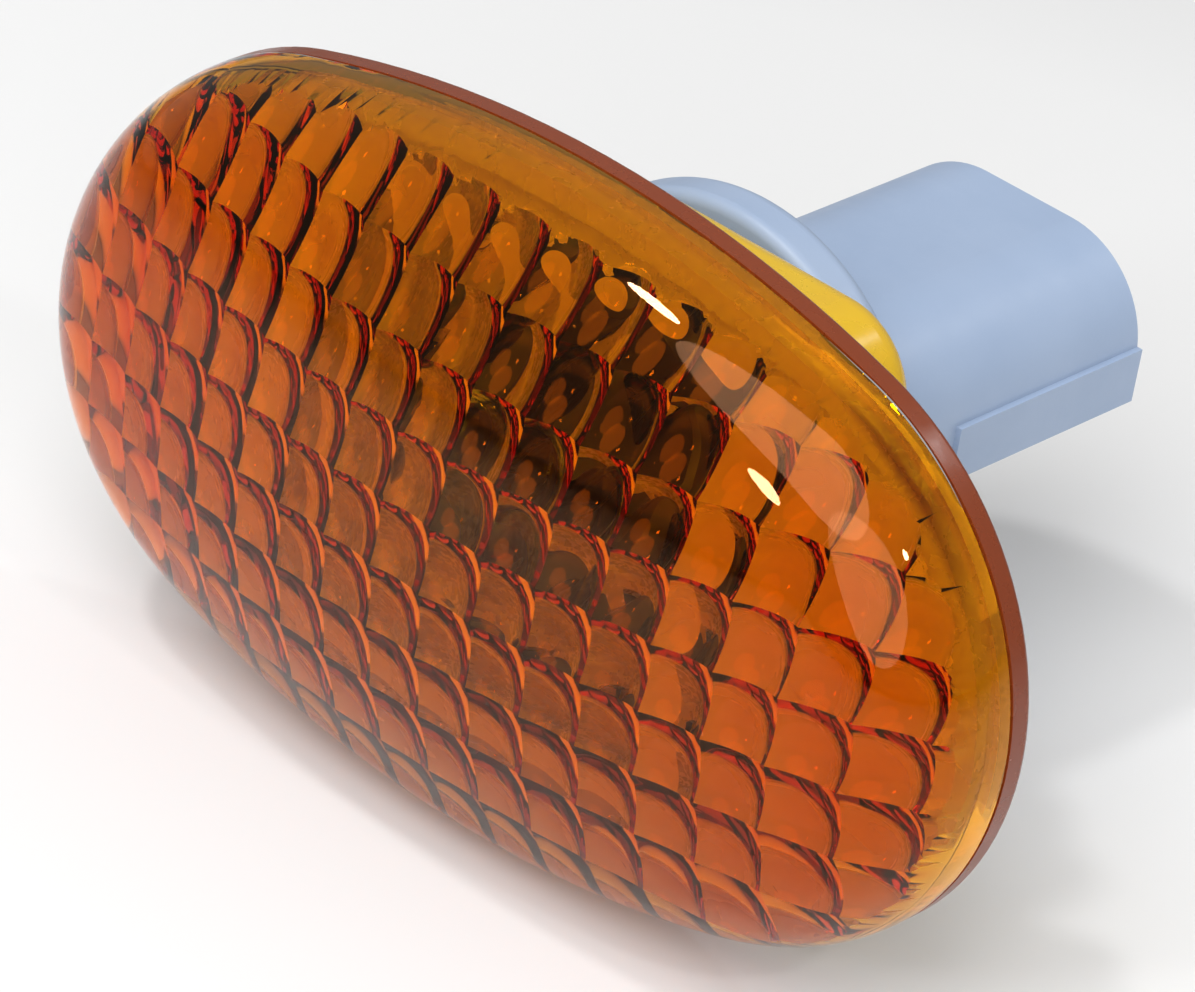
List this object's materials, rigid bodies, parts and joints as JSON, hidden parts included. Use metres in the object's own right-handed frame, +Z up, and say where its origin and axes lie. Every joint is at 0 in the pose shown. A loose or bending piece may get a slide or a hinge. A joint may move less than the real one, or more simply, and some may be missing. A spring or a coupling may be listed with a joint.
{
  "type": "side repeater lamp",
  "caption": "Oval amber turn signal lamp for a car's wing, with pillow optics, a clip-in housing and a twist-out bulb holder that ends in a connector shroud.",
  "frame": {"origin": "centre of the oval seat ring that lies on the body panel", "axes": "+X along the lamp's long axis, +Y through the panel to the connector, so the lens faces -Y, +Z up"},
  "size_m": [0.078, 0.0609, 0.047],
  "materials": {
    "amber_lens": "clear amber acrylic, polished outside",
    "amber_housing": "translucent amber moulding",
    "grey_moulding": "satin blue-grey moulding",
    "seal_rubber": "soft black rubber",
    "contact_strip": "tinned brass strip",
    "bulb_glass": "clear glass",
    "lead_wire": "drawn wire",
    "filament": "coiled tungsten"
  },
  "bodies": {
    "lamp_body": {"lens": "amber_lens", "housing": "amber_housing"},
    "holder_unit": {"bulb_holder": "grey_moulding", "holder_seal": "seal_rubber", "terminal_left": "contact_strip", "terminal_right": "contact_strip", "bulb_glass": "bulb_glass", "bulb_lead_left": "lead_wire", "bulb_lead_right": "lead_wire", "bulb_filament": "filament"}
  },
  "joints": [
    {"name": "holder_twist", "type": "hinge", "parent": "lamp_body", "child": "holder_unit", "pos_m": [0, 0.0126, 0], "axis": [0, 1, 0], "range_deg": [0, 45]}
  ]
}
